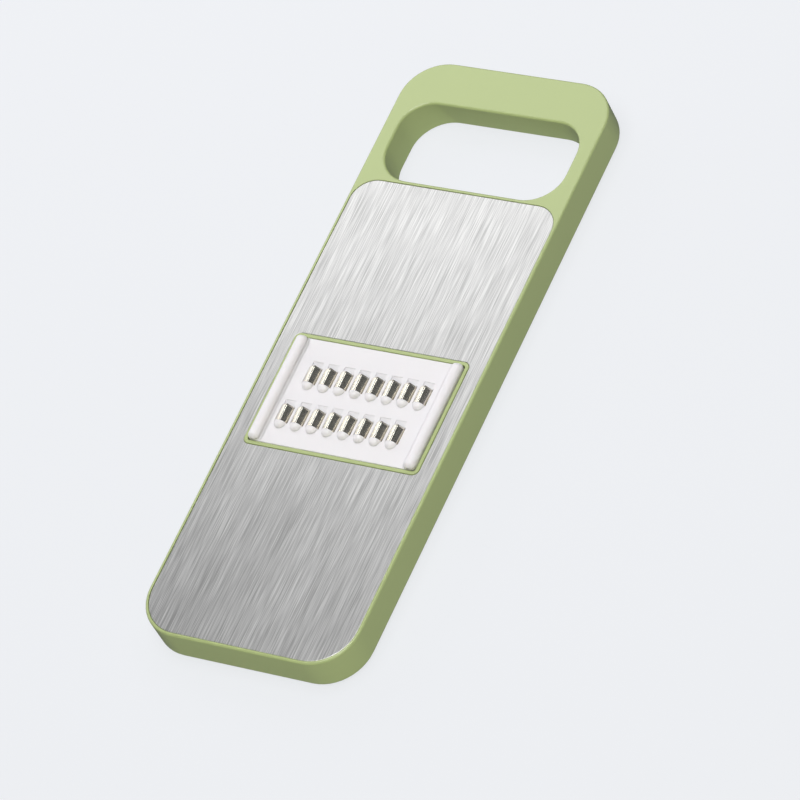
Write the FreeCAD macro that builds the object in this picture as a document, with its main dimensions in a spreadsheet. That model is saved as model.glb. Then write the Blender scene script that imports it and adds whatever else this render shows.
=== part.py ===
import FreeCAD, Part
import math
import os
import re
import Sketcher

# Mandoline slicer: a moulded frame with a looped handle, a bonded steel deck and a lift-out
# shredding insert. Millimetres, +Z up, +Y towards the handle, origin at the middle of the base.

DIMENSIONS = {
    # board
    "board_length": 290,
    "board_width": 100,
    "board_thick": 17,
    "foot_corner": 19.5,
    "handle_corner": 19.2,
    "top_round": 1.0,
    "bottom_round": 2.5,
    "side_wall": 3.6,
    "deck_thick": 3.0,
    "cavity_corner": 8.0,
    "rib_thick": 1.6,
    "rib_depth": 3.4,
    "rib_offset": 24.0,
    "rib_bite": 0.8,
    # handle
    "end_bar": 21.2,
    "side_bar": 7.0,
    "opening_length": 40.0,
    "opening_foot_corner": 15.6,
    "opening_handle_corner": 13.5,
    "opening_round": 1.2,
    "grip_lean": 2.75,
    "side_lean": 0.55,
    "corner_lean": 3.0,
    "grip_skin": 3.5,
    "grip_core_corner": 2.0,
    # deck plate and its bond
    "plate_inset": 1.5,
    "plate_gauge": 0.5,
    "plate_drop": 0.25,
    "plate_gap": 0.15,
    "plate_edge_round": 0.2,
    "plate_handle_corner": 10.6,
    "web_width": 1.8,
    "bond_gauge": 0.2,
    "bond_margin": 1.5,
    # window for the insert
    "deck_side": 10.0,
    "window_length": 52.2,
    "window_from_foot": 94.1,
    "window_corner": 1.2,
    "lip_width": 1.65,
    "lip_round": 0.3,
    "well_wall": 2.6,
    "ledge_width": 1.6,
    "ledge_thick": 3.0,
    "throat_corner": 2.0,
    # insert carrier
    "insert_gap": 0.2,
    "seat_gap": 0.05,
    "panel_drop": 0.1,
    "insert_depth": 6.0,
    "insert_corner": 2.0,
    "insert_wall": 2.6,
    "insert_inner_corner": 1.5,
    "skin_thick": 1.0,
    "rail_width": 5.2,
    "rail_height": 3.0,
    "rail_round": 1.7,
    "rail_root": 0.4,
    "grip_rib_rise": 0.15,
    "grip_rib_width": 1.2,
    "grip_rib_offset": 22.0,
    "grip_rib_lead": 1.5,
    # blade rows
    "blade_pitch": 7.55,
    "blade_space": 1.55,
    "blade_length": 8.0,
    "blade_gauge": 0.4,
    "blade_fit": 0.15,
    "row_margin": 2.3,
    "row_end_margin": 6.25,
    "row_stagger": 3.8,
    "row_bias": -0.5,
    "row_shift": -1.4,
    "strip_band": 2.8,
    "strip_end": 1.8,
    "dome_extra": 0.25,
    "lead_width": 5.0,
    "lead_length": 3.0,
    "lead_depth": 0.5,
    # backing and stakes
    "backing_thick": 1.5,
    "backing_gap": 0.15,
    "backing_window_trim": 0.4,
    "stake_radius": 0.8,
    "stake_hole_gap": 0.1,
    "stake_head_radius": 1.3,
    "stake_head_height": 0.7,
}

os.makedirs("parts", exist_ok=True)
doc = FreeCAD.newDocument("mandoline_slicer")
sheet = doc.addObject("Spreadsheet::Sheet", "Dimensions")
for row, (alias, number) in enumerate(DIMENSIONS.items(), start=1):
    sheet.set(f"A{row}", alias)
    sheet.set(f"B{row}", str(number))
    sheet.setAlias(f"B{row}", alias)
doc.recompute()


def bound(formula):
    """The formula with each dimension's name pointing at its cell in the sheet."""
    def cell(match):
        word = match.group(0)
        return f"Dimensions.{word}" if word in DIMENSIONS else word
    return re.sub(r"[a-z_]+", cell, formula)


def number_of(formula):
    """What the formula comes to, as a plain number."""
    result = sheet.evalExpression(bound(formula))
    return float(getattr(result, "Value", result))


def plus(formula, amount):
    return f"({formula} + {amount})"


def minus(formula, amount):
    return f"({formula} - {amount})"


# Heights
RECESS_FLOOR = "(board_thick - plate_drop - plate_gauge - bond_gauge)"
PLATE_BOTTOM = plus(RECESS_FLOOR, "bond_gauge")
DECK_UNDER = minus(RECESS_FLOOR, "deck_thick")
PANEL_TOP = "(board_thick - panel_drop)"
SKIN_UNDER = minus(PANEL_TOP, "skin_thick")
STRIP_UNDER = minus(SKIN_UNDER, "blade_gauge")
BACKING_UNDER = minus(STRIP_UNDER, "backing_thick")
INSERT_UNDER = minus(PANEL_TOP, "insert_depth")
LEDGE_TOP = minus(INSERT_UNDER, "seat_gap")
LEDGE_UNDER = minus(LEDGE_TOP, "ledge_thick")

# Places along the board
HALF_WIDTH = "(board_width / 2)"
FOOT_END = "(-board_length / 2)"
HANDLE_END = "(board_length / 2)"
OPENING_HIGH = minus(HANDLE_END, "end_bar")
OPENING_LOW = minus(OPENING_HIGH, "opening_length")
WINDOW_LOW = plus(FOOT_END, "window_from_foot")
WINDOW_HIGH = plus(WINDOW_LOW, "window_length")

# Blade rows: as many blades as fit between the rails, in two staggered rows
ROW_SIDE = "(deck_side + insert_gap + rail_width + row_margin)"
ROOM = f"(board_width - 2 * {ROW_SIDE} - row_stagger)"
BLADE_COUNT = f"floor({ROOM} / blade_pitch)"
BLADE_RADIUS = "((blade_pitch - blade_space) / 2)"
ROW_SPACING = "((window_length - 2 * row_end_margin) / 2)"
ROW_MIDDLE = f"(({WINDOW_LOW} + {WINDOW_HIGH}) / 2 + row_shift)"
ROWS = {
    "handle_side": {"across": "(row_bias + row_stagger / 2)",
                    "along": f"({ROW_MIDDLE} + {ROW_SPACING} / 2)"},
    "foot_side": {"across": "(row_bias - row_stagger / 2)",
                  "along": f"({ROW_MIDDLE} - {ROW_SPACING} / 2)"},
}
for row in ROWS.values():
    row["first"] = f"({row['across']} - ({BLADE_COUNT} - 1) / 2 * blade_pitch)"
    row["front"] = f"({row['along']} + blade_length / 2)"
    row["back"] = f"({row['along']} - blade_length / 2)"
    row["reach"] = f"({BLADE_COUNT} / 2 * blade_pitch)"


def outline(half, low, high, low_corner, high_corner):
    return {"left": f"(-{half})", "right": half, "low": low, "high": high,
            "low_corner": low_corner, "high_corner": high_corner}


def inset(shape, amount):
    """The same outline moved inwards all round, its corners staying concentric."""
    return {"left": plus(shape["left"], amount), "right": minus(shape["right"], amount),
            "low": plus(shape["low"], amount), "high": minus(shape["high"], amount),
            "low_corner": minus(shape["low_corner"], amount),
            "high_corner": minus(shape["high_corner"], amount)}


def outset(shape, amount):
    return inset(shape, f"(-{amount})")


BOARD = outline(HALF_WIDTH, FOOT_END, HANDLE_END, "foot_corner", "handle_corner")
PLATE = outline(minus(HALF_WIDTH, "plate_inset"), plus(FOOT_END, "plate_inset"),
                minus(OPENING_LOW, "web_width"), "(foot_corner - plate_inset)", "plate_handle_corner")
WINDOW = outline(minus(HALF_WIDTH, "deck_side"), WINDOW_LOW, WINDOW_HIGH,
                 "window_corner", "window_corner")
LIP = outset(WINDOW, "lip_width")
THROAT = dict(inset(WINDOW, "ledge_width"), low_corner="throat_corner", high_corner="throat_corner")
OPENING_TOP = outline(minus(HALF_WIDTH, "side_bar"), OPENING_LOW, OPENING_HIGH,
                      "opening_foot_corner", "opening_handle_corner")
OPENING_BASE = outline(minus(OPENING_TOP["right"], "side_lean"), OPENING_LOW,
                       plus(OPENING_HIGH, "grip_lean"), plus("opening_foot_corner", "side_lean"),
                       plus("opening_handle_corner", "corner_lean"))
CAVITY = outline(minus(HALF_WIDTH, "side_wall"), plus(FOOT_END, "side_wall"),
                 minus(OPENING_LOW, "side_wall"), "(foot_corner - side_wall)", "cavity_corner")
INSERT = dict(inset(WINDOW, "insert_gap"), low_corner="insert_corner", high_corner="insert_corner")
INSERT_INNER = dict(inset(INSERT, "insert_wall"),
                    low_corner="insert_inner_corner", high_corner="insert_inner_corner")


class Piece:
    """One sub-part: a PartDesign body whose features follow one another."""

    def __init__(self, name):
        self.body = doc.addObject("PartDesign::Body", name)
        self.body.Label = name
        self.name = name

    def origin_plane(self, role):
        return next(item for item in self.body.Origin.OriginFeatures if item.Role == role)

    def sketch(self, name, role="XY_Plane", **offset):
        """A sketch on one of the body's own planes, moved by the formulas x, y and z."""
        sketch = self.body.newObject("Sketcher::SketchObject", f"{self.name}_{name}_sketch")
        sketch.AttachmentSupport = [(self.origin_plane(role), "")]
        sketch.MapMode = "FlatFace"
        for axis, formula in offset.items():
            sketch.setExpression(f"AttachmentOffset.Base.{axis}", bound(formula))
        return sketch

    def feature(self, kind, name, **settings):
        made = self.body.newObject(f"PartDesign::{kind}", f"{self.name}_{name}")
        for key, setting in settings.items():
            setattr(made, key, setting)
        self.body.Tip = made
        return made

    def pad(self, name, sketch, length, reverse=False):
        made = self.feature("Pad", name, Profile=sketch, Reversed=reverse)
        made.setExpression("Length", bound(length))
        return made

    def pocket(self, name, sketch, length, reverse=False):
        doc.recompute()
        before = self.body.Shape.Volume
        made = self.feature("Pocket", name, Profile=sketch, Reversed=reverse)
        made.setExpression("Length", bound(length))
        doc.recompute()
        if self.body.Shape.Volume >= before - 1e-6:
            raise RuntimeError(f"{made.Name} cuts nothing")
        return made

    def fillet(self, name, radius, chosen):
        """Round the edges for which chosen(edge) is true."""
        doc.recompute()
        base = self.body.Tip
        edges = [f"Edge{i}" for i, edge in enumerate(base.Shape.Edges, start=1) if chosen(edge)]
        if not edges:
            raise RuntimeError(f"{self.name}_{name} finds no edge")
        made = self.feature("Fillet", name, Base=(base, edges))
        made.setExpression("Radius", bound(radius))
        return made

    def pattern(self, name, originals, spacing, count):
        """Repeat the features along X."""
        made = self.feature("LinearPattern", name, Originals=originals)
        made.Direction = (self.origin_plane("X_Axis"), [""])
        made.setExpression("Length", bound(f"({spacing}) * ({count} - 1)"))
        made.setExpression("Occurrences", bound(count))
        self.body.Tip = made
        return made


def name_constraint(sketch, constraint, name, formula):
    index = sketch.addConstraint(constraint)
    sketch.renameConstraint(index, name)
    sketch.setExpression(f"Constraints.{name}", bound(formula))


def place(sketch, axis, geometry, point, name, formula):
    """Hold one point at the formula's distance from the sketch's origin along X or Y."""
    constraint = Sketcher.Constraint(f"Distance{axis}", -1, 1, geometry, point, number_of(formula))
    name_constraint(sketch, constraint, name, formula)


def add_line(sketch, x0, y0, x1, y1):
    return sketch.addGeometry(Part.LineSegment(FreeCAD.Vector(x0, y0, 0), FreeCAD.Vector(x1, y1, 0)))


def add_arc(sketch, x, y, radius, start, end):
    circle = Part.Circle(FreeCAD.Vector(x, y, 0), FreeCAD.Vector(0, 0, 1), radius)
    return sketch.addGeometry(Part.ArcOfCircle(circle, math.radians(start), math.radians(end)))


def add_rounded(sketch, shape, tag="outer"):
    """A rectangle with one radius at its low corners and one at its high corners."""
    left, right, low, high, low_r, high_r = (
        number_of(shape[key]) for key in ("left", "right", "low", "high", "low_corner", "high_corner"))
    base = add_line(sketch, left + low_r, low, right - low_r, low)
    low_right = add_arc(sketch, right - low_r, low + low_r, low_r, -90, 0)
    side = add_line(sketch, right, low + low_r, right, high - high_r)
    high_right = add_arc(sketch, right - high_r, high - high_r, high_r, 0, 90)
    top = add_line(sketch, right - high_r, high, left + high_r, high)
    high_left = add_arc(sketch, left + high_r, high - high_r, high_r, 90, 180)
    other_side = add_line(sketch, left, high - high_r, left, low + low_r)
    low_left = add_arc(sketch, left + low_r, low + low_r, low_r, 180, 270)
    loop = [base, low_right, side, high_right, top, high_left, other_side, low_left]
    for first, second in zip(loop, loop[1:] + loop[:1]):
        sketch.addConstraint(Sketcher.Constraint("Tangent", first, 2, second, 1))
    for line in (base, top):
        sketch.addConstraint(Sketcher.Constraint("Horizontal", line))
    for line in (side, other_side):
        sketch.addConstraint(Sketcher.Constraint("Vertical", line))
    sketch.addConstraint(Sketcher.Constraint("Equal", low_right, low_left))
    sketch.addConstraint(Sketcher.Constraint("Equal", high_right, high_left))
    for arc, key in ((low_right, "low_corner"), (high_right, "high_corner")):
        radius = Sketcher.Constraint("Radius", arc, number_of(shape[key]))
        name_constraint(sketch, radius, f"{tag}_{key}", shape[key])
    place(sketch, "Y", base, 1, f"{tag}_low", shape["low"])
    place(sketch, "X", side, 1, f"{tag}_right", shape["right"])
    place(sketch, "Y", top, 1, f"{tag}_high", shape["high"])
    place(sketch, "X", other_side, 1, f"{tag}_left", shape["left"])


def add_rectangle(sketch, left, right, low, high, tag):
    x0, x1, y0, y1 = (number_of(formula) for formula in (left, right, low, high))
    corners = [(x0, y0), (x1, y0), (x1, y1), (x0, y1)]
    loop = [add_line(sketch, *a, *b) for a, b in zip(corners, corners[1:] + corners[:1])]
    for first, second in zip(loop, loop[1:] + loop[:1]):
        sketch.addConstraint(Sketcher.Constraint("Coincident", first, 2, second, 1))
    for line in loop[::2]:
        sketch.addConstraint(Sketcher.Constraint("Horizontal", line))
    for line in loop[1::2]:
        sketch.addConstraint(Sketcher.Constraint("Vertical", line))
    place(sketch, "Y", loop[0], 1, f"{tag}_low", low)
    place(sketch, "X", loop[1], 1, f"{tag}_right", right)
    place(sketch, "Y", loop[2], 1, f"{tag}_high", high)
    place(sketch, "X", loop[3], 1, f"{tag}_left", left)


def add_circle(sketch, x, y, radius, tag):
    centre = FreeCAD.Vector(number_of(x), number_of(y), 0)
    circle = sketch.addGeometry(Part.Circle(centre, FreeCAD.Vector(0, 0, 1), number_of(radius)))
    place(sketch, "X", circle, 3, f"{tag}_x", x)
    place(sketch, "Y", circle, 3, f"{tag}_y", y)
    size = Sketcher.Constraint("Radius", circle, number_of(radius))
    name_constraint(sketch, size, f"{tag}_radius", radius)


def add_arch(sketch, middle, base, springing, radius):
    """An arch's section: two upright legs from the base and a half circle on top."""
    x, y0, y1, r = (number_of(formula) for formula in (middle, base, springing, radius))
    floor_line = add_line(sketch, x - r, y0, x + r, y0)
    leg = add_line(sketch, x + r, y0, x + r, y1)
    crown = add_arc(sketch, x, y1, r, 0, 180)
    other_leg = add_line(sketch, x - r, y1, x - r, y0)
    sketch.addConstraint(Sketcher.Constraint("Coincident", floor_line, 2, leg, 1))
    sketch.addConstraint(Sketcher.Constraint("Tangent", leg, 2, crown, 1))
    sketch.addConstraint(Sketcher.Constraint("Tangent", crown, 2, other_leg, 1))
    sketch.addConstraint(Sketcher.Constraint("Coincident", other_leg, 2, floor_line, 1))
    sketch.addConstraint(Sketcher.Constraint("Horizontal", floor_line))
    sketch.addConstraint(Sketcher.Constraint("Vertical", leg))
    sketch.addConstraint(Sketcher.Constraint("Vertical", other_leg))
    place(sketch, "X", crown, 3, "middle", middle)
    place(sketch, "Y", crown, 3, "springing", springing)
    place(sketch, "Y", floor_line, 1, "base", base)
    name_constraint(sketch, Sketcher.Constraint("Radius", crown, r), "radius", radius)


def add_quarter_disc(sketch, radius):
    """A quarter disc in the sketch's first quadrant, its corner at the origin."""
    r = number_of(radius)
    base = add_line(sketch, 0, 0, r, 0)
    rim = add_arc(sketch, 0, 0, r, 0, 90)
    upright = add_line(sketch, 0, r, 0, 0)
    sketch.addConstraint(Sketcher.Constraint("Coincident", base, 1, -1, 1))
    sketch.addConstraint(Sketcher.Constraint("Coincident", rim, 3, -1, 1))
    sketch.addConstraint(Sketcher.Constraint("Coincident", base, 2, rim, 1))
    sketch.addConstraint(Sketcher.Constraint("Coincident", rim, 2, upright, 1))
    sketch.addConstraint(Sketcher.Constraint("Coincident", upright, 2, -1, 1))
    sketch.addConstraint(Sketcher.Constraint("Horizontal", base))
    sketch.addConstraint(Sketcher.Constraint("Vertical", upright))
    name_constraint(sketch, Sketcher.Constraint("Radius", rim, r), "radius", radius)


def at_height(formula):
    """True for an edge that lies wholly at the formula's height."""
    height = number_of(formula)
    def chosen(edge):
        box = edge.BoundBox
        return abs(box.ZMin - height) < 1e-4 and abs(box.ZMax - height) < 1e-4
    return chosen


def within(shape, chosen):
    """True for a chosen edge inside an outline, its line included."""
    left, right, low, high = (number_of(shape[key]) for key in ("left", "right", "low", "high"))
    def inside(edge):
        box = edge.BoundBox
        across = left - 1e-3 < box.XMin and box.XMax < right + 1e-3
        along = low - 1e-3 < box.YMin and box.YMax < high + 1e-3
        return across and along and chosen(edge)
    return inside


def stake_places(row):
    """Where one row's stakes stand: between the blades and at both ends, ahead and behind."""
    ahead = f"({row['front']} + strip_band / 2)"
    behind = f"({row['back']} - strip_band / 2)"
    across = (minus(row["across"], row["reach"]), row["across"], plus(row["across"], row["reach"]))
    if number_of(f"{BLADE_COUNT} - 2 * floor({BLADE_COUNT} / 2)"):
        across = (across[0], minus(row["across"], "blade_pitch / 2"), across[2])
    return [(x, y) for x in across for y in (ahead, behind)]


def add_circles(sketch, places, radius):
    for index, (x, y) in enumerate(places):
        add_circle(sketch, x, y, radius, f"circle_{index}")


def evenly(low, high, count):
    """The middles of count ribs that divide a stretch evenly."""
    return [f"({low} + ({high} - {low}) * {i} / {count + 1})" for i in range(1, count + 1)]


def add_rib(sketch, across, along, tag):
    """A rib that runs across the board when along is one place, or along it when across is."""
    half = "rib_thick / 2"
    left, right = across if isinstance(across, tuple) else (minus(across, half), plus(across, half))
    low, high = along if isinstance(along, tuple) else (minus(along, half), plus(along, half))
    add_rectangle(sketch, left, right, low, high, tag)


def frame_ribs(piece):
    """Ribs under the deck, across and along, between the walls and the insert's well."""
    foot_zone = (CAVITY["low"], minus(WINDOW_LOW, "well_wall"))
    handle_zone = (plus(WINDOW_HIGH, "well_wall"), CAVITY["high"])
    bite = "rib_bite"
    cross = piece.sketch("cross_ribs", z=DECK_UNDER)
    side_to_side = (minus(CAVITY["left"], bite), plus(CAVITY["right"], bite))
    middles = evenly(*foot_zone, 2) + evenly(*handle_zone, 2)
    for index, middle in enumerate(middles):
        add_rib(cross, side_to_side, middle, f"cross_{index}")
    piece.pad("cross_ribs", cross, "rib_depth", reverse=True)
    long = piece.sketch("long_ribs", z=DECK_UNDER)
    for index, (low, high) in enumerate((foot_zone, handle_zone)):
        for side, sign in (("left", "-"), ("right", "")):
            add_rib(long, f"({sign}rib_offset)", (minus(low, bite), plus(high, bite)), f"{side}_{index}")
    piece.pad("long_ribs", long, "rib_depth", reverse=True)


def grip_cells(piece):
    """Three blind cells from below lighten the handle's end bar."""
    low = plus(OPENING_BASE["high"], "side_wall")
    high = minus(HANDLE_END, "side_wall")
    reach = minus(HALF_WIDTH, "handle_corner")
    width = f"((2 * {reach} - 2 * rib_thick) / 3)"
    sketch = piece.sketch("grip_cells")
    for index in range(3):
        left = f"(-{reach} + {index} * ({width} + rib_thick))"
        cell = {"left": left, "right": plus(left, width), "low": low, "high": high,
                "low_corner": "grip_core_corner", "high_corner": "grip_core_corner"}
        add_rounded(sketch, cell, f"cell_{index}")
    piece.pocket("grip_cells", sketch, minus("board_thick", "grip_skin"), reverse=True)


def handle_opening(piece):
    """The finger opening, whose grip side leans under towards the base."""
    base = piece.sketch("opening_base")
    add_rounded(base, OPENING_BASE)
    top = piece.sketch("opening_top", z="board_thick")
    add_rounded(top, OPENING_TOP)
    piece.feature("SubtractiveLoft", "opening", Profile=base, Sections=[top], Ruled=True)
    zone = outset(OPENING_BASE, "side_lean")
    piece.fillet("opening_top_round", "opening_round", within(zone, at_height("board_thick")))
    piece.fillet("opening_base_round", "opening_round", within(zone, at_height("0")))


def make_frame():
    piece = Piece("frame")
    board = piece.sketch("board")
    add_rounded(board, BOARD)
    piece.pad("board", board, "board_thick")
    piece.fillet("top_round", "top_round", at_height("board_thick"))
    piece.fillet("bottom_round", "bottom_round", at_height("0"))
    handle_opening(piece)

    recess = piece.sketch("recess", z="board_thick")
    add_rounded(recess, outset(PLATE, "plate_gap"), "outer")
    add_rounded(recess, LIP, "lip")
    piece.pocket("recess", recess, minus("board_thick", RECESS_FLOOR))

    hollow = piece.sketch("hollow")
    add_rounded(hollow, CAVITY)
    piece.pocket("hollow", hollow, LEDGE_UNDER, reverse=True)
    gutter = piece.sketch("gutter", z=LEDGE_UNDER)
    add_rounded(gutter, CAVITY, "outer")
    add_rounded(gutter, outset(WINDOW, "well_wall"), "well")
    piece.pocket("gutter", gutter, minus(DECK_UNDER, LEDGE_UNDER), reverse=True)

    well = piece.sketch("well", z="board_thick")
    add_rounded(well, WINDOW)
    piece.pocket("well", well, minus("board_thick", LEDGE_TOP))
    throat = piece.sketch("throat", z=LEDGE_TOP)
    add_rounded(throat, THROAT)
    piece.pocket("throat", throat, "ledge_thick")
    piece.fillet("lip_round", "lip_round", within(LIP, at_height("board_thick")))

    frame_ribs(piece)
    grip_cells(piece)
    return piece


def make_deck_plate():
    piece = Piece("deck_plate")
    sheet_metal = piece.sketch("sheet", z=PLATE_BOTTOM)
    add_rounded(sheet_metal, PLATE, "outer")
    add_rounded(sheet_metal, outset(LIP, "plate_gap"), "window")
    piece.pad("sheet", sheet_metal, "plate_gauge")
    piece.fillet("edge_round", "plate_edge_round", at_height(plus(PLATE_BOTTOM, "plate_gauge")))
    return piece


def make_deck_adhesive():
    piece = Piece("deck_adhesive")
    film = piece.sketch("film", z=RECESS_FLOOR)
    add_rounded(film, inset(PLATE, "bond_margin"), "outer")
    add_rounded(film, outset(LIP, "(plate_gap + bond_margin)"), "window")
    piece.pad("film", film, "bond_gauge")
    return piece


def add_rails(piece):
    """Two rounded grip rails along the sides of the insert."""
    edge = INSERT["right"]
    inner = minus(edge, "rail_width")
    for side, left, right in (("left", f"(-{edge})", f"(-{inner})"), ("right", inner, edge)):
        rail = piece.sketch(f"{side}_rail", z=minus(PANEL_TOP, "rail_root"))
        add_rounded(rail, dict(INSERT, left=left, right=right))
        piece.pad(f"{side}_rail", rail, "(rail_root + rail_height)")
    piece.fillet("rail_tops", "rail_round", at_height(plus(PANEL_TOP, "rail_height")))


def add_grip_ribs(piece):
    """Four slight ribs on the end walls that take up the insert's play in its well."""
    ribs = piece.sketch("grip_ribs", z=plus(INSERT_UNDER, "grip_rib_lead"))
    half = "grip_rib_width / 2"
    for end, sign in (("low", "-"), ("high", "")):
        face = f"({INSERT[end]} + {sign}grip_rib_rise)"
        root = f"({INSERT[end]} - {sign}insert_wall / 2)"
        low, high = (face, root) if end == "low" else (root, face)
        for side, middle in (("left", "(-grip_rib_offset)"), ("right", "grip_rib_offset")):
            add_rectangle(ribs, minus(middle, half), plus(middle, half), low, high, f"{end}_{side}")
    piece.pad("grip_ribs", ribs, "(insert_depth - 2 * grip_rib_lead)")


def add_blade_seats(piece, side, row):
    """For one row: the lead-in, the slot and the dome of each blade."""
    fit = "blade_fit"
    lead = piece.sketch(f"{side}_lead", z=PANEL_TOP)
    half_lead = "lead_width / 2"
    add_rectangle(lead, minus(row["first"], half_lead), plus(row["first"], half_lead),
                  row["front"], plus(row["front"], "lead_length"), "lead")
    lead_cut = piece.pocket(f"{side}_lead", lead, "lead_depth")
    slot = piece.sketch(f"{side}_slot", z=PANEL_TOP)
    half_slot = f"({BLADE_RADIUS} + {fit})"
    add_rectangle(slot, minus(row["first"], half_slot), plus(row["first"], half_slot),
                  minus(row["back"], fit), plus(row["front"], fit), "slot")
    slot_cut = piece.pocket(f"{side}_slot", slot, "skin_thick")
    dome = piece.sketch(f"{side}_dome", "XZ_Plane", x=row["first"], y=PANEL_TOP,
                        z=f"(-({row['back']} - {fit}))")
    add_quarter_disc(dome, f"({BLADE_RADIUS} + dome_extra)")
    shell = piece.feature("Revolution", f"{side}_dome", Profile=dome, Angle=180, Reversed=True)
    shell.ReferenceAxis = (dome, ["V_Axis"])
    piece.pattern(f"{side}_seats", [lead_cut, slot_cut, shell], "blade_pitch", BLADE_COUNT)


def make_insert_carrier():
    piece = Piece("insert_carrier")
    block = piece.sketch("block", z=INSERT_UNDER)
    add_rounded(block, INSERT)
    piece.pad("block", block, "insert_depth")
    add_rails(piece)
    hollow = piece.sketch("hollow", z=INSERT_UNDER)
    add_rounded(hollow, INSERT_INNER)
    piece.pocket("hollow", hollow, minus("insert_depth", "skin_thick"), reverse=True)
    add_grip_ribs(piece)
    for side, row in ROWS.items():
        add_blade_seats(piece, side, row)
    places = [spot for row in ROWS.values() for spot in stake_places(row)]
    posts = piece.sketch("posts", z=SKIN_UNDER)
    add_circles(posts, places, "stake_radius")
    piece.pad("posts", posts, f"({SKIN_UNDER} - {BACKING_UNDER} + stake_head_height)", reverse=True)
    heads = piece.sketch("heads", z=BACKING_UNDER)
    add_circles(heads, places, "stake_head_radius")
    piece.pad("heads", heads, "stake_head_height", reverse=True)
    return piece


def make_blade_strip(side, row):
    """A stamped strip whose blades are arches raised through the insert's skin."""
    piece = Piece(f"blade_strip_{side}")
    strip = piece.sketch("strip", z=STRIP_UNDER)
    reach = plus(row["reach"], "strip_end")
    add_rectangle(strip, minus(row["across"], reach), plus(row["across"], reach),
                  minus(row["back"], "strip_band"), plus(row["front"], "strip_band"), "strip")
    piece.pad("strip", strip, "blade_gauge")
    outside = piece.sketch("arch", "XZ_Plane", z=f"(-{row['front']})")
    add_arch(outside, row["first"], STRIP_UNDER, PANEL_TOP, BLADE_RADIUS)
    arch = piece.pad("arch", outside, "blade_length")
    inside = piece.sketch("tunnel", "XZ_Plane", z=f"(-{row['front']})")
    add_arch(inside, row["first"], STRIP_UNDER, PANEL_TOP, f"({BLADE_RADIUS} - blade_gauge)")
    tunnel = piece.pocket("tunnel", inside, "blade_length", reverse=True)
    piece.pattern("blades", [arch, tunnel], "blade_pitch", BLADE_COUNT)
    holes = piece.sketch("stake_holes", z=SKIN_UNDER)
    add_circles(holes, stake_places(row), "(stake_radius + stake_hole_gap)")
    piece.pocket("stake_holes", holes, "blade_gauge")
    return piece


def make_blade_backing():
    piece = Piece("blade_backing")
    plate = piece.sketch("plate", z=BACKING_UNDER)
    add_rounded(plate, inset(INSERT_INNER, "backing_gap"))
    piece.pad("plate", plate, "backing_thick")
    for side, row in ROWS.items():
        window = piece.sketch(f"{side}_window", z=STRIP_UNDER)
        half = f"({BLADE_RADIUS} - backing_window_trim)"
        add_rectangle(window, minus(row["first"], half), plus(row["first"], half),
                      row["back"], row["front"], "window")
        cut = piece.pocket(f"{side}_window", window, "backing_thick")
        piece.pattern(f"{side}_windows", [cut], "blade_pitch", BLADE_COUNT)
    holes = piece.sketch("stake_holes", z=STRIP_UNDER)
    places = [spot for row in ROWS.values() for spot in stake_places(row)]
    add_circles(holes, places, "(stake_radius + stake_hole_gap)")
    piece.pocket("stake_holes", holes, "backing_thick")
    return piece


pieces = [make_frame(), make_deck_plate(), make_deck_adhesive(), make_insert_carrier()]
pieces += [make_blade_strip(side, row) for side, row in ROWS.items()]
pieces.append(make_blade_backing())
doc.recompute()

for item in doc.Objects:
    if "Invalid" in item.State or "Error" in item.State:
        raise RuntimeError(f"{item.Name} did not build: {item.State}")
for piece in pieces:
    shape = piece.body.Shape
    if shape.isNull() or not shape.isValid() or len(shape.Solids) != 1:
        raise RuntimeError(f"{piece.name} is not one valid solid")

for piece in pieces:
    piece.body.Shape.exportStep(f"parts/{piece.name}.step")
    print(f"{piece.name}: {piece.body.Shape.Volume / 1000:.2f} cm3")
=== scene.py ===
import math
from dataclasses import astuple, dataclass, replace

import bmesh
import bpy
from bpy.props import FloatProperty, FloatVectorProperty, IntProperty, PointerProperty
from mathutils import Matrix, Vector


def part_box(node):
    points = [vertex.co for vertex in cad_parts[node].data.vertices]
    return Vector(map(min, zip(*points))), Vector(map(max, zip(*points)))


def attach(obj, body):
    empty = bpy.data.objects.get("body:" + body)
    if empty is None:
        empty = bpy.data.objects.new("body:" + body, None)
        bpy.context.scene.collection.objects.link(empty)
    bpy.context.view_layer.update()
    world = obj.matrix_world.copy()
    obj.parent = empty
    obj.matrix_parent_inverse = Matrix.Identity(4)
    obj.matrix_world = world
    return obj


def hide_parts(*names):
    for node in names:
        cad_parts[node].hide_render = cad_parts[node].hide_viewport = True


# The visible pieces of a mandoline slicer: a green moulding with a looped handle, a brushed steel
# deck, and a white lift-out insert with two rows of hooded blades. Metres, +Z up, +Y towards the
# handle, the board's base on the floor.

bl_info = {
    "name": "Mandoline Slicer",
    "version": (1, 0, 0),
    "blender": (4, 5, 0),
    "location": "3D View > Sidebar > Slicer",
    "description": "Makes the mouldings, the steel deck, the blades and the studio of a slicer",
    "category": "Add Mesh",
}

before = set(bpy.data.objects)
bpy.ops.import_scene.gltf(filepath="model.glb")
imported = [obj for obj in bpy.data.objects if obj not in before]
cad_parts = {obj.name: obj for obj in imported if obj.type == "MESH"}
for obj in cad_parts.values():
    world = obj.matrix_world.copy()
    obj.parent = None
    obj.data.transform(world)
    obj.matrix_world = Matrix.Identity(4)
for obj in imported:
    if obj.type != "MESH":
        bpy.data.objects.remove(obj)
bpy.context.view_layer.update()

MM = 0.001
BOARD_LOW, BOARD_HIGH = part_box("frame")
PLATE_LOW, PLATE_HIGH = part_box("deck_plate")
RECESS_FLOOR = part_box("deck_adhesive")[0].z
INSERT_LOW, INSERT_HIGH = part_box("insert_carrier")
BACKING_LOW, BACKING_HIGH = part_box("blade_backing")
STRIPS = ("blade_strip_handle_side", "blade_strip_foot_side")

SAME_PLACE = 0.0005 * MM
SMALLEST_CORNER = 0.02 * MM


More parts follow.
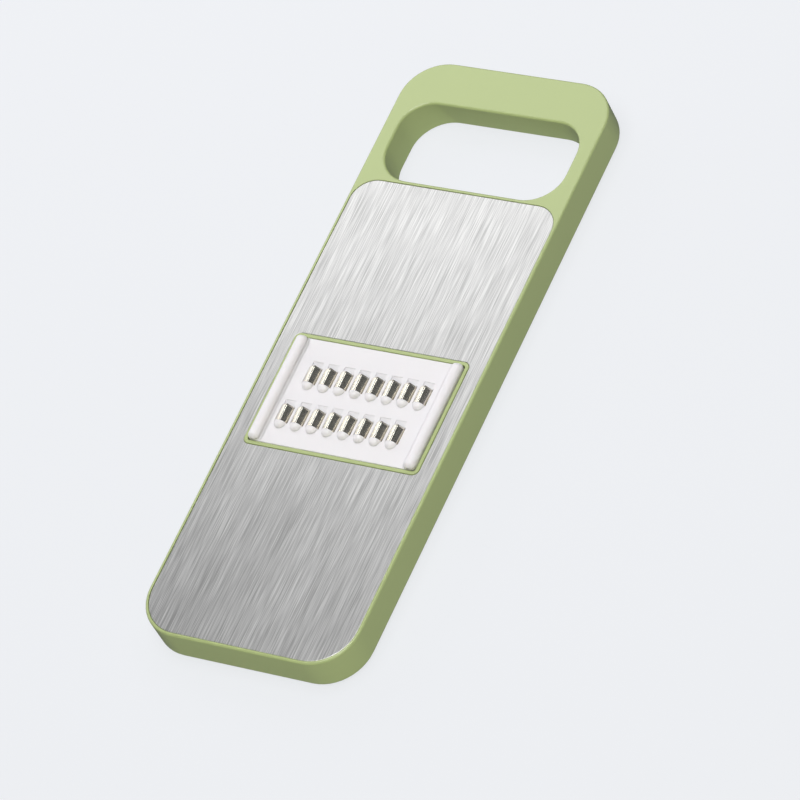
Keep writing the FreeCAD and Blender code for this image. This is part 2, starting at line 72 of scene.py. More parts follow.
# ---------------------------------------------------------------------------------------------
# Sizes and colours
# ---------------------------------------------------------------------------------------------

def length(name, description, millimetres):
    return FloatProperty(name=name, description=description, default=millimetres * MM,
                         min=0.0, precision=5, subtype="DISTANCE", unit="LENGTH")


def colour(name, description, *rgb):
    return FloatVectorProperty(name=name, description=description, default=(*rgb, 1.0),
                               size=4, min=0.0, max=1.0, subtype="COLOR")


def share(name, description, default):
    return FloatProperty(name=name, description=description, default=default,
                         min=0.0, max=1.0, subtype="FACTOR")


def glow(name, description, default):
    return FloatProperty(name=name, description=description, default=default, min=0.0)


class BoardSizes(bpy.types.PropertyGroup):
    """Sizes of the green moulding that its box doesn't give"""

    foot_corner: length("Foot corner", "Corner radius at the foot, seen from above", 19.5)
    handle_corner: length("Handle corner", "Corner radius at the handle", 19.2)
    top_round: length("Top round", "Radius along the top edge", 1.0)
    bottom_round: length("Bottom round", "Radius along the bottom edge", 2.5)
    edge_break: length("Edge break", "Slight rounding of the moulding's small edges", 0.15)
    inner_break: length("Inner break", "Rounding of the edges underneath", 0.4)
    side_wall: length("Side wall", "Wall around the hollow underneath", 3.6)
    deck_thick: length("Deck", "Thickness of the deck under the steel plate", 3.0)
    cavity_corner: length("Cavity corner", "Handle-side corners of the hollow underneath", 8.0)
    end_bar: length("Grip bar", "From the finger opening to the handle's end", 21.2)
    side_bar: length("Side bar", "Width beside the finger opening", 7.0)
    opening_length: length("Opening length", "Finger opening along the board", 40.0)
    opening_foot_corner: length("Opening foot corner", "Its corners next to the deck", 15.6)
    opening_handle_corner: length("Opening grip corner", "Its corners next to the grip", 13.5)
    opening_round: length("Opening round", "Radius around both ends of the opening", 1.2)
    grip_lean: length("Grip lean", "How far the grip side leans under", 2.75)
    side_lean: length("Side lean", "How far the opening's sides draw in below", 0.55)
    corner_lean: length("Corner lean", "How much larger the grip corners are below", 3.0)
    grip_skin: length("Grip skin", "Thickness above the cells under the grip", 3.5)
    cell_corner: length("Cell corner", "Corners of the cells under the grip", 2.0)
    rib_thick: length("Rib thickness", "Ribs under the deck", 1.6)
    rib_depth: length("Rib depth", "How far the ribs stand down", 3.4)
    rib_offset: length("Rib offset", "Lengthwise ribs from the middle", 24.0)
    rib_bite: length("Rib bite", "How far a rib's ends run into the walls", 0.8)


class DeckSizes(bpy.types.PropertyGroup):
    """Sizes of the steel deck plate and of the window for the insert"""

    plate_gap: length("Plate gap", "Between the plate and the moulding", 0.15)
    plate_corner: length("Plate handle corner", "The plate's corners next to the handle", 10.6)
    plate_round: length("Plate edge", "Rolled edge of the plate", 0.2)
    window_corner: length("Window corner", "Corner radius of the window", 1.2)
    lip_width: length("Lip width", "Green rim around the window", 1.65)
    lip_round: length("Lip round", "Radius along the rim's edges", 0.3)
    well_wall: length("Well wall", "Wall around the insert's well", 2.6)
    ledge_width: length("Ledge width", "Ledge that the insert rests on", 1.6)
    ledge_thick: length("Ledge thickness", "Depth of that ledge", 3.0)
    throat_corner: length("Throat corner", "Corners of the hole inside the ledge", 2.0)


class InsertSizes(bpy.types.PropertyGroup):
    """Sizes of the white insert"""

    gap: length("Gap", "Between the insert and its window", 0.2)
    seat_gap: length("Seat gap", "Between the insert and its seat", 0.05)
    corner: length("Corner", "Corner radius seen from above", 2.0)
    wall: length("Wall", "Thickness of the side walls", 2.6)
    inner_corner: length("Inner corner", "Corner radius inside the walls", 1.5)
    skin: length("Skin", "Thickness of the top skin", 1.0)
    edge_round: length("Edge round", "Radius along the top edge", 0.3)
    rail_width: length("Rail width", "Width of a grip rail", 5.2)
    rail_height: length("Rail height", "Height of a grip rail", 3.0)
    rail_round: length("Rail round", "Radius along a rail's top", 2.3)
    rail_root: length("Rail root", "Fillet at the inner foot of a rail", 1.0)
    rib_width: length("Grip rib", "Width of the slight ribs on the end walls", 1.2)
    rib_offset: length("Grip rib offset", "Those ribs from the middle", 22.0)
    rib_lead: length("Grip rib lead", "From a rib's end to the wall's end", 1.5)
    rib_bevel: length("Grip rib bevel", "Bevel round a rib's ends", 0.1)
    rail_sink: length("Rail sink", "How far a rail's buried foot stands in", 0.02)
    lead_width: length("Lead-in width", "Hollow in front of a blade", 5.0)
    lead_length: length("Lead-in length", "Hollow in front of a blade", 3.0)
    lead_shallow: length("Lead-in start", "Depth of the hollow where food enters", 0.3)
    lead_deep: length("Lead-in end", "Depth of the hollow next to the blade", 0.75)
    dome_half_width: length("Dome half width", "Across the dome behind a blade", 2.65)
    dome_height: length("Dome height", "Rise of the dome behind a blade", 2.15)
    dome_length: length("Dome length", "Along the dome behind a blade", 2.9)
    stake_radius: length("Stake", "Radius of the posts that hold the blades", 0.8)
    stake_head: length("Stake head", "Radius of the melted heads", 1.3)
    head_height: length("Head height", "Height of a melted head", 0.7)
    head_flat: length("Head flat", "How far the flat of a melted head stands in", 0.75)
    head_round: length("Head round", "Radius between a melted head's flat and its side", 0.45)
    stake_hole_gap: length("Stake hole gap", "Between a post and its hole", 0.1)


class BladeSizes(bpy.types.PropertyGroup):
    """Sizes of the hooded blades and the strips that they stand on"""

    pitch: length("Pitch", "From one blade to the next", 7.55)
    radius: length("Radius", "Outside radius of the room that a blade takes", 3.0)
    half_width: length("Half width", "From a blade's middle to its sides at the mouth", 2.75)
    ridge_offset: length("Ridge offset", "From a blade's middle to its ridge", 0.35)
    ridge_height: length("Ridge height", "Where the top and the steep flank would meet", 2.5)
    shoulder_offset: length("Shoulder offset", "From a blade's middle to its shoulder", 2.2)
    shoulder_height: length("Shoulder height", "Where the top and the other flank would meet", 1.55)
    softness: length("Softness", "Roundness of the ridge and the shoulder", 0.3)
    taper: share("Taper", "How much lower and narrower a blade is at its back", 0.16)
    gauge: length("Gauge", "Thickness of the steel", 0.4)
    band: length("Band", "Strip in front of and behind the blades", 2.8)
    end: length("Strip end", "Strip beyond the last blade", 1.8)
    fit: length("Fit", "Slot around a blade", 0.15)
    grind: length("Ground edge", "Width of the edge's bevel", 0.85)
    strip_corner: length("Strip corner", "Corner radius of the strip", 0.8)
    steps: IntProperty(name="Steps", description="Segments across a blade", default=48, min=12, max=96)


class Finishes(bpy.types.PropertyGroup):
    """Colours of the materials"""

    green: colour("Green plastic", "Satin moulding", 0.450, 0.533, 0.236)
    white: colour("White plastic", "Insert", 0.875, 0.850, 0.886)
    steel: colour("Brushed steel", "Deck plate", 0.700, 0.697, 0.692)
    blade: colour("Blade steel", "Polished blades", 0.900, 0.860, 0.765)
    film: colour("Bond film", "Adhesive under the deck plate", 0.560, 0.545, 0.480)
    backing: colour("Backing", "Matt plate under the blades", 0.640, 0.635, 0.620)
    floor: colour("Floor", "Studio floor", 0.850, 0.865, 0.898)


class Studio(bpy.types.PropertyGroup):
    """Camera and lights"""

    camera_place: FloatVectorProperty(
        name="Camera place", description="Where the camera stands", size=3, precision=4,
        default=(1.09078, -0.93418, 1.64702), subtype="TRANSLATION", unit="LENGTH")
    camera_turn: FloatVectorProperty(
        name="Camera turn", description="Which way the camera is turned", size=3, precision=4,
        default=(0.637372, 0.344110, 0.437132), subtype="EULER", unit="ROTATION")
    lens: FloatProperty(
        name="Lens", description="Focal length on a 36 mm sensor", default=239.7147,
        min=10.0, subtype="DISTANCE_CAMERA", unit="CAMERA")
    canopy: glow("Canopy", "Wide softbox overhead that the steel mirrors", 1.05)
    left: glow("Left", "Softbox on the left", 1.0)
    front: glow("Front", "Softbox at the front right", 1.15)
    edge: glow("Edge", "Small bright softbox that the rounded edges mirror", 2.6)
    overhead: glow("Overhead", "Softbox straight above, which gives the soft shadow", 4.75)
    ambience: share("Ambience", "Brightness of the room around", 0.09)
    floor_glow: share("Floor glow", "How much of the floor's brightness is its own", 0.85)


# ---------------------------------------------------------------------------------------------
# Outlines and shells
# ---------------------------------------------------------------------------------------------

@dataclass(frozen=True)
class Outline:
    """A rectangle seen from above, with one radius at its foot-side corners and one at the others."""

    left: float
    right: float
    foot: float
    handle: float
    foot_corner: float
    handle_corner: float
    steps: int = 12

    def inset(self, amount):
        """The same outline moved inwards all round, its corners staying concentric."""
        return Outline(self.left + amount, self.right - amount,
                       self.foot + amount, self.handle - amount,
                       max(self.foot_corner - amount, SMALLEST_CORNER),
                       max(self.handle_corner - amount, SMALLEST_CORNER), self.steps)

    def towards(self, other, part):
        """The outline that lies the given part of the way to another."""
        mixed = (a + (b - a) * part for a, b in zip(astuple(self)[:6], astuple(other)[:6]))
        return Outline(*mixed, self.steps)

    def points(self):
        """Points anticlockwise, starting at the foot side's right-hand corner."""
        corners = (
            (self.right - self.foot_corner, self.foot + self.foot_corner, self.foot_corner, -90),
            (self.right - self.handle_corner, self.handle - self.handle_corner,
             self.handle_corner, 0),
            (self.left + self.handle_corner, self.handle - self.handle_corner,
             self.handle_corner, 90),
            (self.left + self.foot_corner, self.foot + self.foot_corner, self.foot_corner, 180),
        )
        found = []
        for x, y, radius, start in corners:
            for step in range(self.steps + 1):
                angle = math.radians(start + 90 * step / self.steps)
                point = Vector((x + radius * math.cos(angle), y + radius * math.sin(angle)))
                if not found or (point - found[-1]).length > SAME_PLACE:
                    found.append(point)
        if (found[0] - found[-1]).length < SAME_PLACE:
            found.pop()
        return found


def rectangle(x, y, width, depth, corner, steps=3):
    return Outline(x - width / 2, x + width / 2, y - depth / 2, y + depth / 2,
                   corner, corner, steps)


def circle(x, y, radius, steps=6):
    return rectangle(x, y, 2 * radius, 2 * radius, radius, steps)


def rounded(*corners):
    """A profile of (inset, height) points, with an arc at each corner that also gives a radius."""
    points = [Vector(corner[:2]) for corner in corners]
    profile = []
    for index, corner in enumerate(corners):
        here = points[index]
        if len(corner) == 2:
            profile.append(here)
            continue
        back = (points[index - 1] - here).normalized()
        ahead = (points[index + 1] - here).normalized()
        half = back.angle(ahead) / 2
        sweep = math.pi - 2 * half
        centre = here + (back + ahead).normalized() * corner[2] / math.sin(half)
        start = here + back * corner[2] / math.tan(half) - centre
        end = here + ahead * corner[2] / math.tan(half) - centre
        steps = max(2, round(math.degrees(sweep) / 15))
        for step in range(steps + 1):
            turned = sweep * step / steps
            profile.append(centre + (start * math.sin(sweep - turned) + end * math.sin(turned))
                           / math.sin(sweep))
    kept = profile[:1]
    for point in profile[1:]:
        if (point - kept[-1]).length > SAME_PLACE:
            kept.append(point)
    return kept


class Shell:
    """A closed surface put together from rings of points. Flat regions are marked for shading."""

    SMOOTH = math.cos(math.radians(40))

    def __init__(self):
        self.mesh = bmesh.new()
        self.flat = self.mesh.faces.layers.int.new("flat")

    def ring(self, points, height):
        return [self.mesh.verts.new((x, y, height)) for x, y in points]

    def face(self, corners, flat=True):
        made = self.mesh.faces.new(corners)
        made[self.flat] = flat
        return made

    def bridge(self, first, second, flat=False):
        """Faces from one ring to another with as many points."""
        for index, corner in enumerate(first):
            before = index - 1
            self.face((first[before], corner, second[index], second[before]), flat)

    def wall(self, outline, profile):
        """Rings of an outline, or of a function that gives one for a height, along a profile."""
        rings = []
        for inset, height in profile:
            base = outline(height) if callable(outline) else outline
            rings.append(self.ring(base.inset(inset).points(), height))
        for first, second in zip(rings, rings[1:]):
            self.bridge(first, second)
        return rings[0], rings[-1]

    def fill(self, outer, *holes):
        """The flat region inside one ring and outside the others."""
        edges = []
        for ring in (outer, *holes):
            for index, corner in enumerate(ring):
                pair = (ring[index - 1], corner)
                edges.append(self.mesh.edges.get(pair) or self.mesh.edges.new(pair))
        made = bmesh.ops.triangle_fill(self.mesh, use_beauty=True, edges=edges)
        for item in made["geom"]:
            if isinstance(item, bmesh.types.BMFace):
                item[self.flat] = 1

    def block(self, outline, profile):
        """A closed block: a wall along the profile and a face over each end."""
        low, high = self.wall(outline, profile)
        self.face(low)
        self.face(high)

    def corner_normal(self, corner):
        """A flat face's own direction where it meets a corner, and the average elsewhere."""
        total = Vector()
        for face in corner.vert.link_faces:
            if face.normal.dot(corner.face.normal) > self.SMOOTH:
                total += face.normal * (1.0 if face[self.flat] else face.calc_area() ** 2)
        return total.normalized()

    def finish(self, name):
        """The mesh as an object, its faces outwards and its roundings shaded into the flats."""
        bmesh.ops.remove_doubles(self.mesh, verts=self.mesh.verts, dist=SAME_PLACE)
        bmesh.ops.recalc_face_normals(self.mesh, faces=self.mesh.faces)
        self.mesh.normal_update()
        if any(not edge.is_manifold for edge in self.mesh.edges):
            raise RuntimeError(f"{name} isn't closed")
        normals = [self.corner_normal(corner) for face in self.mesh.faces for corner in face.loops]
        data = bpy.data.meshes.new(name)
        for face in self.mesh.faces:
            face.smooth = True
        self.mesh.to_mesh(data)
        self.mesh.free()
        data.normals_split_custom_set(normals)
        made = bpy.data.objects.new(name, data)
        bpy.context.scene.collection.objects.link(made)
        return made


def settle(piece, material, body, slot, *nodes):
    """Gives a finished piece its material and its body, and hides the measured parts that it stands
    for.
    """
    piece.data.materials.clear()
    piece.data.materials.append(material)
    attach(piece, body)
    if nodes:
        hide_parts(*nodes)


# ---------------------------------------------------------------------------------------------
# Node trees
# ---------------------------------------------------------------------------------------------

class Signal:
    """One node's output. Plain arithmetic on it adds Math nodes."""

    def __init__(self, nodes, socket):
        self.nodes = nodes
        self.socket = socket

    def math(self, operation, *values):
        return self.nodes.add("ShaderNodeMath", {"operation": operation}, dict(enumerate(values)))

    def eased(self, softness):
        """Its size without the sign, rounded off near zero."""
        return self.math("SQRT", self * self + softness * softness)

    def __add__(self, other):
        return self.math("ADD", self, other)

    def __radd__(self, other):
        return self.math("ADD", other, self)

    def __sub__(self, other):
        return self.math("SUBTRACT", self, other)

    def __rsub__(self, other):
        return self.math("SUBTRACT", other, self)

    def __mul__(self, other):
        return self.math("MULTIPLY", self, other)

    def __rmul__(self, other):
        return self.math("MULTIPLY", other, self)

    def __truediv__(self, other):
        return self.math("DIVIDE", self, other)


class Nodes:
    """Adds nodes to a tree. A node's settings are made before its inputs."""

    def __init__(self, tree):
        self.tree = tree

    def add(self, kind, settings=None, inputs=None, output=0):
        node = self.tree.nodes.new(kind)
        for key, setting in (settings or {}).items():
            if key == "stops":
                self.set_stops(node.color_ramp, setting)
            else:
                setattr(node, key, setting)
        for key, value in (inputs or {}).items():
            self.feed(node.inputs[key], value)
        return Signal(self, node.outputs[output]) if node.outputs else node

    def feed(self, socket, value):
        if isinstance(value, Signal):
            self.tree.links.new(value.socket, socket)
        else:
            socket.default_value = value

    @staticmethod
    def set_stops(ramp, stops):
        while len(ramp.elements) < len(stops):
            ramp.elements.new(1.0)
        for element, (position, grey) in zip(ramp.elements, stops):
            element.position = position
            element.color = (grey, grey, grey, 1.0)


class Finish(Nodes):
    """A material in the making, with its main shader's constants set on their own sockets."""

    def __init__(self, name, constants):
        self.material = bpy.data.materials.new(name)
        self.material.use_nodes = True
        super().__init__(self.material.node_tree)
        self.shader = self.tree.nodes["Principled BSDF"]
        for key, value in constants.items():
            self.feed(self.shader.inputs[key], value)
        self.place = self.add("ShaderNodeTexCoord", output="Object")

    def noise(self, scale, stretch=(1.0, 1.0, 1.0), detail=2.0, roughness=0.5):
        """Noise with the given number of features to the metre, from 0 to 1 about a mean of 0.5."""
        stretched = self.add("ShaderNodeMapping", {"vector_type": "POINT"},
                             {"Vector": self.place, "Scale": stretch})
        return self.add("ShaderNodeTexNoise", {"noise_dimensions": "3D"},
                        {"Vector": stretched, "Scale": scale, "Detail": detail,
                         "Roughness": roughness}, output="Fac")

    def mix(self, amount, first, second):
        return self.add("ShaderNodeMix", {"data_type": "RGBA", "clamp_factor": True},
                        {"Factor": amount, 6: first, 7: second}, output=2)

    def bump(self, height, distance, strength=1.0):
        return self.add("ShaderNodeBump", None,
                        {"Height": height, "Distance": distance, "Strength": strength})

    def use(self, **parts):
        """Links what changes over the surface to the main shader."""
        for key, value in parts.items():
            self.feed(self.shader.inputs[key.replace("_", " ").title()], value)
        return self.material


def tinted(rgba, factor):
    return (*(channel * factor for channel in rgba[:3]), 1.0)


def moulded_plastic(name, rgba, roughness, grain=1.0, translucence=0.0, sheen=0.0):
    """Injection-moulded plastic: a fine spark-eroded grain and very slight shade differences."""
    finish = Finish(name, {"IOR": 1.5, "Specular IOR Level": 0.5,
                           "Coat Weight": sheen, "Coat Roughness": 0.26,
                           "Subsurface Weight": translucence, "Subsurface Scale": 1.2 * MM,
                           "Subsurface Radius": (1.0, 0.95, 0.95)})
    shade = finish.noise(28.0, detail=3.0)
    grains = finish.noise(3200.0, detail=1.0)
    patches = finish.noise(9.0, (1.0, 0.6, 1.0), detail=2.0)
    wear = finish.noise(420.0, detail=4.0, roughness=0.65)
    amount = shade * 0.6 + patches * 0.4
    return finish.use(
        base_color=finish.mix(amount, tinted(rgba, 0.965), tinted(rgba, 1.035)),
        roughness=roughness - 0.05 + 0.06 * wear + 0.04 * patches,
        normal=finish.bump(grains * 0.7 + wear * 0.3, 0.006 * MM * grain))


def brushed_steel(name, rgba):
    """Sheet steel brushed along the board: streaks of several widths in height, gloss and shade."""
    finish = Finish(name, {"Metallic": 1.0, "Specular IOR Level": 0.5})
    fine = finish.noise(2800.0, (1.0, 0.014, 1.0), detail=2.0, roughness=0.7)
    medium = finish.noise(1000.0, (1.0, 0.006, 1.0), detail=2.0, roughness=0.6)
    broad = finish.noise(150.0, (1.0, 0.020, 1.0), detail=2.0)
    clouds = finish.noise(22.0, (1.0, 0.6, 1.0), detail=1.0)
    streaks = fine * 0.80 + medium * 0.14 + broad * 0.06
    shade = streaks * 3.8 + clouds * 0.1 - 1.45
    return finish.use(
        base_color=finish.mix(shade, tinted(rgba, 0.72), tinted(rgba, 1.27)),
        roughness=0.25 + 0.14 * streaks + 0.05 * clouds,
        normal=finish.bump(fine * 0.7 + medium * 0.3, 0.010 * MM))


def polished_steel(name, rgba):
    """Pressed stainless strip: bright, with faint rolling lines and a little haze."""
    finish = Finish(name, {"Metallic": 1.0, "Specular IOR Level": 0.5})
    lines = finish.noise(5200.0, (1.0, 0.03, 1.0), detail=2.0)
    haze = finish.noise(600.0, detail=3.0, roughness=0.6)
    return finish.use(
        base_color=finish.mix(haze, tinted(rgba, 0.95), tinted(rgba, 1.05)),
        roughness=0.17 + 0.08 * haze + 0.05 * lines,
        normal=finish.bump(lines, 0.0008 * MM))


def bond_film(name, rgba):
    """Acrylic bonding film: waxy, with small trapped bubbles."""
    finish = Finish(name, {"IOR": 1.47})
    bubbles = finish.add("ShaderNodeTexVoronoi", {"feature": "F1"},
                         {"Vector": finish.place, "Scale": 700.0}, output="Distance")
    spots = finish.add("ShaderNodeValToRGB", {"stops": ((0.10, 1.0), (0.22, 0.0))},
                       {"Fac": bubbles})
    haze = finish.noise(60.0, detail=3.0)
    return finish.use(
        base_color=finish.mix(spots * 0.5 + haze * 0.3, rgba, tinted(rgba, 1.3)),
        roughness=0.42 + 0.2 * haze,
        normal=finish.bump(spots, 0.01 * MM))


# ---------------------------------------------------------------------------------------------
# Geometry node trees
# ---------------------------------------------------------------------------------------------

class Pattern(Nodes):
    """A geometry tree in the making, with a named input for each of its sizes."""

    def __init__(self, name):
        super().__init__(bpy.data.node_groups.new(name, "GeometryNodeTree"))
        self.tree.interface.new_socket("Geometry", in_out="INPUT", socket_type="NodeSocketGeometry")
        self.tree.interface.new_socket("Geometry", in_out="OUTPUT", socket_type="NodeSocketGeometry")
        self.identifiers = {}
        self.values = {}
        self.entry = self.tree.nodes.new("NodeGroupInput")

    def geometry(self):
        return Signal(self, self.entry.outputs["Geometry"])

    def size(self, name, value, kind="NodeSocketFloat"):
        """A named input that the modifier sets to the value."""
        socket = self.tree.interface.new_socket(name, in_out="INPUT", socket_type=kind)
        self.identifiers[name] = socket.identifier
        self.values[name] = value
        return Signal(self, self.entry.outputs[name])

    def repeat(self, geometry, count, step):
        """The geometry again and again, each copy one step further."""
        places = self.add("GeometryNodeMeshLine", {"mode": "OFFSET", "count_mode": "TOTAL"},
                          {"Count": count, "Offset": step})
        return self.add("GeometryNodeInstanceOnPoints", None,
                        {"Points": places, "Instance": geometry})

    def end(self, geometry, material):
        real = self.add("GeometryNodeRealizeInstances", None, {"Geometry": geometry})
        done = self.add("GeometryNodeSetMaterial", None, {"Geometry": real, "Material": material})
        self.add("NodeGroupOutput", None, {"Geometry": done})

    def apply(self, piece):
        """Runs the tree on the piece, and leaves the result as its plain mesh."""
        modifier = piece.modifiers.new(self.tree.name, "NODES")
        modifier.node_group = self.tree
        for name, value in self.values.items():
            modifier[self.identifiers[name]] = value
        bpy.context.view_layer.update()
        evaluated = piece.evaluated_get(bpy.context.evaluated_depsgraph_get())
        result = bpy.data.meshes.new_from_object(evaluated)
        piece.modifiers.remove(modifier)
        start = piece.data
        piece.data = result
        bpy.data.meshes.remove(start)
        result.name = piece.name


def grid_pattern(name, material, count, step, rows=1, row_step=(0.0, 0.0, 0.0)):
    """Repeats a piece in a row, and the row again in further rows."""
    pattern = Pattern(name)
    row = pattern.repeat(pattern.geometry(), pattern.size("Count", count, "NodeSocketInt"),
                         pattern.size("Step", step, "NodeSocketVector"))
    grid = pattern.repeat(row, pattern.size("Rows", rows, "NodeSocketInt"),
                          pattern.size("Row Step", row_step, "NodeSocketVector"))
    pattern.end(grid, material)
    return pattern


def blade_pattern(name, material, sizes, row):
    """Hooded blades with a ground front edge, in a row on the strip that the tree is given."""
    pattern = Pattern(name)
    half = pattern.size("Half Width", sizes.half_width - sizes.gauge / 2)
    ridge = pattern.size("Ridge Offset", sizes.ridge_offset)
    ridge_height = pattern.size("Ridge Height", sizes.ridge_height)
    shoulder = pattern.size("Shoulder Offset", sizes.shoulder_offset)
    shoulder_height = pattern.size("Shoulder Height", sizes.shoulder_height)
    softness = pattern.size("Softness", sizes.softness)
    taper = pattern.size("Taper", sizes.taper)
    leg = pattern.size("Leg", row.centre - row.under)
    gauge = pattern.size("Gauge", sizes.gauge)
    run = pattern.size("Length", row.front - row.back)
    grind = pattern.size("Ground Edge", sizes.grind)
    steps = pattern.size("Steps", sizes.steps, "NodeSocketInt")

    line = pattern.add("GeometryNodeCurvePrimitiveLine", None,
                       {"Start": (0.0, 0.0, 0.0), "End": (0.0, 0.0, 1.0)})
    line = pattern.add("GeometryNodeResampleCurve", {"mode": "COUNT"},
                       {"Curve": line, "Count": steps})
    part = pattern.add("GeometryNodeSplineParameter", output="Factor")
    along = (part * 2.0 - 1.0) * (half + leg)
    across = along.math("MINIMUM", along.math("MAXIMUM", along, half * -1.0), half)
    beyond = along.math("ABSOLUTE", along - across)
    upright = shoulder_height / (half - shoulder)
    top = (ridge_height - shoulder_height) / (ridge + shoulder)
    steep = ridge_height / (ridge - half)
    from_shoulder = across + shoulder
    from_ridge = across - ridge
    bent = from_shoulder.eased(softness) * (top - upright) * 0.5
    bent += from_ridge.eased(softness) * (steep - top) * 0.5
    level = (ridge_height + shoulder_height + from_ridge * steep + from_shoulder * upright) * 0.5
    upwards = level + bent - beyond
    place = pattern.add("ShaderNodeCombineXYZ", None, {"X": across, "Z": upwards})
    path = pattern.add("GeometryNodeSetPosition", None, {"Geometry": line, "Position": place})

    outside = gauge * -0.5
    inside = gauge * 0.5
    corners = ((outside, 0.0), (inside, 0.0), (inside, run), (outside, run - grind))
    points = {f"Point {index}": pattern.add("ShaderNodeCombineXYZ", None, {"X": x, "Y": y})
              for index, (x, y) in enumerate(corners, start=1)}
    section = pattern.add("GeometryNodeCurvePrimitiveQuadrilateral", {"mode": "POINTS"}, points)
    arch = pattern.add("GeometryNodeCurveToMesh", None,
                       {"Curve": path, "Profile Curve": section, "Fill Caps": True})
    where = pattern.add("GeometryNodeInputPosition")
    x, y, z = (pattern.add("ShaderNodeSeparateXYZ", None, {"Vector": where}, output=axis)
               for axis in ("X", "Y", "Z"))
    narrowing = 1.0 - taper * (1.0 - y / run)
    lifted = z.math("MAXIMUM", z, 0.0) * narrowing + z.math("MINIMUM", z, 0.0)
    place = pattern.add("ShaderNodeCombineXYZ", None, {"X": x * narrowing, "Y": y, "Z": lifted})
    arch = pattern.add("GeometryNodeSetPosition", None, {"Geometry": arch, "Position": place})
    first = pattern.size("First", (row.first, row.back, row.centre), "NodeSocketVector")
    arch = pattern.add("GeometryNodeTransform", None, {"Geometry": arch, "Translation": first})
    blades = pattern.repeat(arch, pattern.size("Count", row.count, "NodeSocketInt"),
                            pattern.size("Step", (row.pitch, 0.0, 0.0), "NodeSocketVector"))
    joined = pattern.tree.nodes.new("GeometryNodeJoinGeometry")
    for geometry in (blades, pattern.geometry()):
        pattern.tree.links.new(geometry.socket, joined.inputs[0])
    pattern.end(Signal(pattern, joined.outputs[0]), material)
    return pattern


def tidy_faces(piece, angle=35.0):
    """Turns a made mesh's faces outwards and keeps its edges sharp past the angle."""
    work = bmesh.new()
    work.from_mesh(piece.data)
    bmesh.ops.remove_doubles(work, verts=work.verts, dist=SAME_PLACE)
    bmesh.ops.recalc_face_normals(work, faces=work.faces)
    work.to_mesh(piece.data)
    work.free()
    piece.data.shade_smooth()
    piece.data.set_sharp_from_angle(angle=math.radians(angle))


# ---------------------------------------------------------------------------------------------
# Where things are
# ---------------------------------------------------------------------------------------------

def board_outline(sizes):
    return Outline(BOARD_LOW.x, BOARD_HIGH.x, BOARD_LOW.y, BOARD_HIGH.y,
                   sizes.foot_corner, sizes.handle_corner)


def plate_outline(sizes, deck):
    inset = PLATE_LOW.y - BOARD_LOW.y
    return Outline(PLATE_LOW.x, PLATE_HIGH.x, PLATE_LOW.y, PLATE_HIGH.y,
                   sizes.foot_corner - inset, deck.plate_corner)


def window_outline(deck, insert):
    """The window in the board, a little larger than the insert."""
    return Outline(INSERT_LOW.x - insert.gap, INSERT_HIGH.x + insert.gap,
                   INSERT_LOW.y - insert.seat_gap, INSERT_HIGH.y + insert.seat_gap,
                   deck.window_corner, deck.window_corner)


def insert_outline(deck, insert):
    return replace(window_outline(deck, insert).inset(insert.gap),
                   foot_corner=insert.corner, handle_corner=insert.corner)


class BladeRow:
    """Where one strip's blades are, from the strip's own box."""

    def __init__(self, strip, blades):
        low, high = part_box(strip)
        self.strip = strip
        self.pitch = blades.pitch
        self.across = (low.x + high.x) / 2
        self.reach = (high.x - low.x) / 2 - blades.end
        self.count = round(2 * self.reach / blades.pitch)
        self.first = self.across - self.reach + blades.pitch / 2
        self.back = low.y + blades.band
        self.front = high.y - blades.band
        self.under = low.z
        self.centre = high.z - blades.radius
        self.low = low
        self.high = high

    def middles(self):
        return [self.first + index * self.pitch for index in range(self.count)]

    def stakes(self):
        """The posts ahead of the blades and behind them, at the strip's left-hand end."""
        ahead = (self.front + self.high.y) / 2
        behind = (self.back + self.low.y) / 2
        return [(self.across - self.reach, y) for y in (ahead, behind)]


# ---------------------------------------------------------------------------------------------
# The board
# ---------------------------------------------------------------------------------------------

